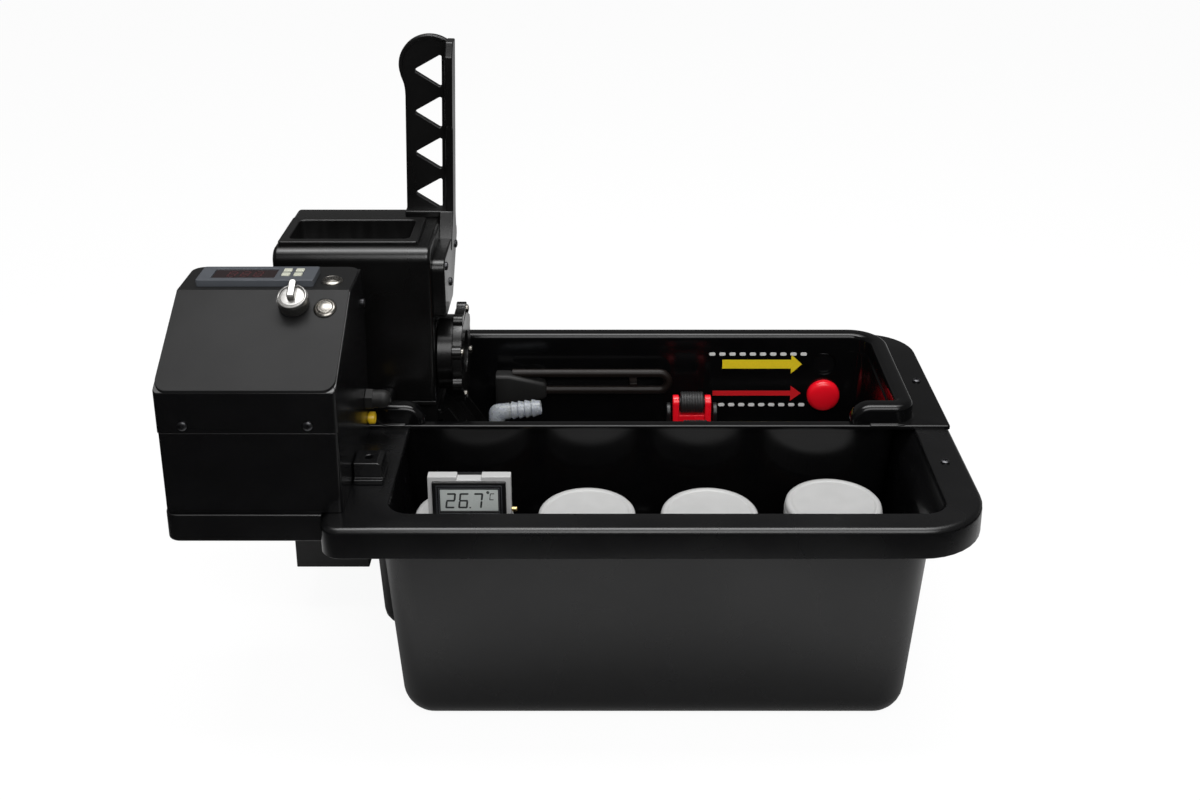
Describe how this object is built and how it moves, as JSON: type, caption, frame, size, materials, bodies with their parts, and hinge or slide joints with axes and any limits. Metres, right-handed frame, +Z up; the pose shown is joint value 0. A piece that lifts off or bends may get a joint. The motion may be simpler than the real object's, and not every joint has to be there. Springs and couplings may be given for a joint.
{
  "type": "semi-automatic film processor",
  "caption": "Rotary film processor: a deep black tub with a drum trough and a bottle bay, a control box, and a tilting lift that turns the developing drum.",
  "frame": {"origin": "on the table below the middle of the tub's flange", "axes": "+X to the right along the tub, away from the control box; +Y from the bottle bay to the drum trough; +Z up"},
  "size_m": [0.5135, 0.283, 0.4223],
  "materials": {
    "tub_plastic": "satin black moulded plastic",
    "trough_plastic": "glossy black moulded plastic",
    "print_white": "printed film",
    "red_plastic": "glossy red plastic",
    "white_plastic": "matt white plastic",
    "black_plastic": "matt black plastic",
    "lift_plastic": "finely layered matt black plastic",
    "sheet_charcoal": "satin charcoal coating",
    "controller_plastic": "matt slate plastic",
    "window_plastic": "dark red-tinted window",
    "key_plastic": "matt grey plastic",
    "steel": "turned steel",
    "dark_steel": "blackened steel",
    "knob_aluminium": "turned aluminium",
    "board": "green circuit board",
    "supply_metal": "pressed aluminium",
    "fuse_yellow": "yellow plastic",
    "motor_steel": "motor can and gearbox",
    "pinion_brass": "cut brass",
    "acetal": "ivory acetal",
    "clear_plastic": "milky clear plastic",
    "heater_sheath": "dark sheath with a rubber boot",
    "roller_rubber": "black rubber",
    "bottle_plastic": "dark amber plastic"
  },
  "bodies": {
    "tub": {"tub_body": "tub_plastic", "drum_trough": "trough_plastic", "level_marks": "print_white", "bottle_rails": "black_plastic", "fixing_screws": "dark_steel", "box_platform": "black_plastic", "box_lower_shell": "black_plastic", "box_upper_cover": "black_plastic", "box_panel": "sheet_charcoal", "box_clamp": "black_plastic", "controller_case": "controller_plastic", "controller_window": "window_plastic", "button_bezels": "steel", "selector_switch": "black_plastic", "circuit_board": "board", "power_supply": "supply_metal", "power_inlet": "black_plastic", "box_gland": "black_plastic", "fuse_cap": "fuse_yellow", "lift_base": "lift_plastic", "hinge_pin": "steel", "drip_chute": "lift_plastic", "circulation_pump": "black_plastic", "pump_elbow": "clear_plastic", "water_heater": "heater_sheath"},
    "lift_head": {"lift_housing": "lift_plastic", "lift_back_cover": "lift_plastic", "funnel_tray": "lift_plastic", "lift_lever": "lift_plastic", "lift_screws": "dark_steel", "gear_motor": "motor_steel", "spindle_bearings": "steel"},
    "drum_spindle": {"spindle": "acetal", "drum_coupling": "lift_plastic", "coupling_screws": "steel"},
    "pinion": {"motor_pinion": "pinion_brass"},
    "key_1": {"controller_key_1": "key_plastic"},
    "key_2": {"controller_key_2": "key_plastic"},
    "key_3": {"controller_key_3": "key_plastic"},
    "key_4": {"controller_key_4": "key_plastic"},
    "button_upper": {"upper_button": "steel"},
    "button_lower": {"lower_button": "steel"},
    "selector": {"selector_knob": "knob_aluminium"},
    "roller_block": {"roller_carriage": "black_plastic", "roller_yokes": "red_plastic", "roller_axles": "white_plastic"},
    "roller_rear": {"rear_roller": "roller_rubber"},
    "roller_front": {"front_roller": "roller_rubber"},
    "plug": {"drain_plug": "red_plastic"},
    "first_bottle": {"bottle_1": "bottle_plastic"},
    "second_bottle": {"bottle_2": "bottle_plastic"},
    "third_bottle": {"bottle_3": "bottle_plastic"},
    "fourth_bottle": {"bottle_4": "bottle_plastic"},
    "first_cap": {"bottle_cap_1": "white_plastic"},
    "second_cap": {"bottle_cap_2": "white_plastic"},
    "third_cap": {"bottle_cap_3": "white_plastic"},
    "fourth_cap": {"bottle_cap_4": "white_plastic"},
    "thermometer_unit": {"thermometer_holder": "white_plastic", "thermometer": "black_plastic"}
  },
  "joints": [
    {"name": "lift_tilt", "type": "hinge", "parent": "tub", "child": "lift_head", "pos_m": [-0.2575, 0.062, 0.178], "axis": [0, -1, 0], "range_deg": [0, 38]},
    {"name": "spindle_spin", "type": "hinge", "parent": "lift_head", "child": "drum_spindle", "pos_m": [-0.16, 0.0505, 0.197], "axis": [1, 0, 0], "continuous": true},
    {"name": "pinion_spin", "type": "hinge", "parent": "lift_head", "child": "pinion", "pos_m": [-0.178, 0.07832, 0.20824], "axis": [1, 0, 0], "continuous": true},
    {"name": "key_1_press", "type": "slide", "parent": "tub", "child": "key_1", "axis": [0, 0, -1], "range_m": [0, 0.0008], "stiffness_N_per_m": 200},
    {"name": "key_2_press", "type": "slide", "parent": "tub", "child": "key_2", "axis": [0, 0, -1], "range_m": [0, 0.0008], "stiffness_N_per_m": 200},
    {"name": "key_3_press", "type": "slide", "parent": "tub", "child": "key_3", "axis": [0, 0, -1], "range_m": [0, 0.0008], "stiffness_N_per_m": 200},
    {"name": "key_4_press", "type": "slide", "parent": "tub", "child": "key_4", "axis": [0, 0, -1], "range_m": [0, 0.0008], "stiffness_N_per_m": 200},
    {"name": "upper_button_press", "type": "slide", "parent": "tub", "child": "button_upper", "axis": [0, 0, -1], "range_m": [0, 0.0015], "stiffness_N_per_m": 300},
    {"name": "lower_button_press", "type": "slide", "parent": "tub", "child": "button_lower", "axis": [0, 0.5204, -0.8539], "range_m": [0, 0.0015], "stiffness_N_per_m": 300},
    {"name": "selector_turn", "type": "hinge", "parent": "tub", "child": "selector", "pos_m": [-0.2272, -0.06917, 0.28349], "axis": [0, -0.5204, 0.8539], "range_deg": [-45, 45]},
    {"name": "roller_block_slide", "type": "slide", "parent": "tub", "child": "roller_block", "axis": [1, 0, 0], "range_m": [-0.07, 0.065]},
    {"name": "rear_roller_spin", "type": "hinge", "parent": "roller_block", "child": "roller_rear", "pos_m": [0.033, 0.0735, 0.144], "axis": [1, 0, 0], "continuous": true},
    {"name": "front_roller_spin", "type": "hinge", "parent": "roller_block", "child": "roller_front", "pos_m": [0.033, 0.0275, 0.144], "axis": [1, 0, 0], "continuous": true},
    {"name": "plug_pull", "type": "slide", "parent": "tub", "child": "plug", "axis": [0, -1, 0], "range_m": [0, 0.03]},
    {"name": "first_bottle_lift", "type": "slide", "parent": "tub", "child": "first_bottle", "axis": [0, 0, 1], "range_m": [0, 0.2]},
    {"name": "second_bottle_lift", "type": "slide", "parent": "tub", "child": "second_bottle", "axis": [0, 0, 1], "range_m": [0, 0.2]},
    {"name": "third_bottle_lift", "type": "slide", "parent": "tub", "child": "third_bottle", "axis": [0, 0, 1], "range_m": [0, 0.2]},
    {"name": "fourth_bottle_lift", "type": "slide", "parent": "tub", "child": "fourth_bottle", "axis": [0, 0, 1], "range_m": [0, 0.2]},
    {"name": "first_cap_lift", "type": "slide", "parent": "first_bottle", "child": "first_cap", "axis": [0, 0, 1], "range_m": [0, 0.03]},
    {"name": "second_cap_lift", "type": "slide", "parent": "second_bottle", "child": "second_cap", "axis": [0, 0, 1], "range_m": [0, 0.03]},
    {"name": "third_cap_lift", "type": "slide", "parent": "third_bottle", "child": "third_cap", "axis": [0, 0, 1], "range_m": [0, 0.03]},
    {"name": "fourth_cap_lift", "type": "slide", "parent": "fourth_bottle", "child": "fourth_cap", "axis": [0, 0, 1], "range_m": [0, 0.03]},
    {"name": "thermometer_lift", "type": "slide", "parent": "first_cap", "child": "thermometer_unit", "axis": [0, 0, 1], "range_m": [0, 0.05]}
  ],
  "couplings": [
    {"joint": "pinion_spin", "follows": "spindle_spin", "ratio": -2.75}
  ]
}
